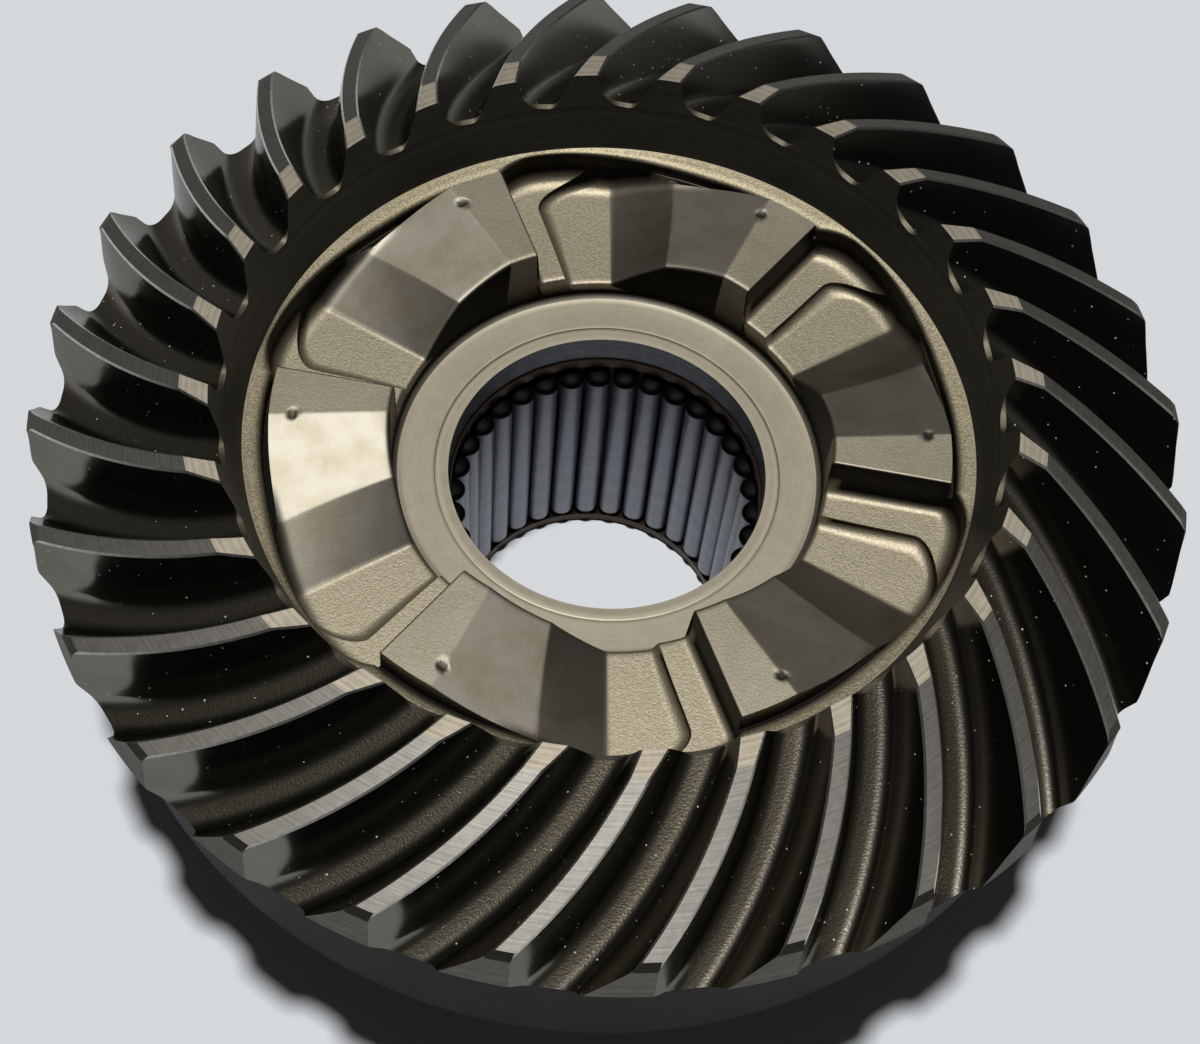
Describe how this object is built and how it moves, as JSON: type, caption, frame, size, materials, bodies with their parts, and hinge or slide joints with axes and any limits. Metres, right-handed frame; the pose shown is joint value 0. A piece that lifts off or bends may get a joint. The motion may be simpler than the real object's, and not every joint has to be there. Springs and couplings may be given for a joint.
{
  "type": "outboard forward gear",
  "caption": "Right-hand spiral bevel gear with ramped clutch dogs sunk inside its teeth, a plain rear journal and a needle bearing pressed in its bore.",
  "frame": {"origin": "centre of the rear face, on the bore axis", "axes": "+Z along the bore from the rear journal towards the teeth, -Y towards the camera of the picture"},
  "size_m": [0.11, 0.11, 0.0487],
  "materials": {
    "gear_steel": "ground and case-hardened, dark flanks",
    "cup_steel": "drawn, brown tinted",
    "roller_steel": "ground"
  },
  "bodies": {
    "gear": {"gear": "gear_steel", "bearing_cup": "cup_steel"},
    "rollers": {"needle_rollers": "roller_steel"}
  },
  "joints": [
    {"name": "roller_set_spin", "type": "hinge", "parent": "gear", "child": "rollers", "pos_m": [0, 0, 0.0148], "axis": [0, 0, 1], "continuous": true}
  ]
}
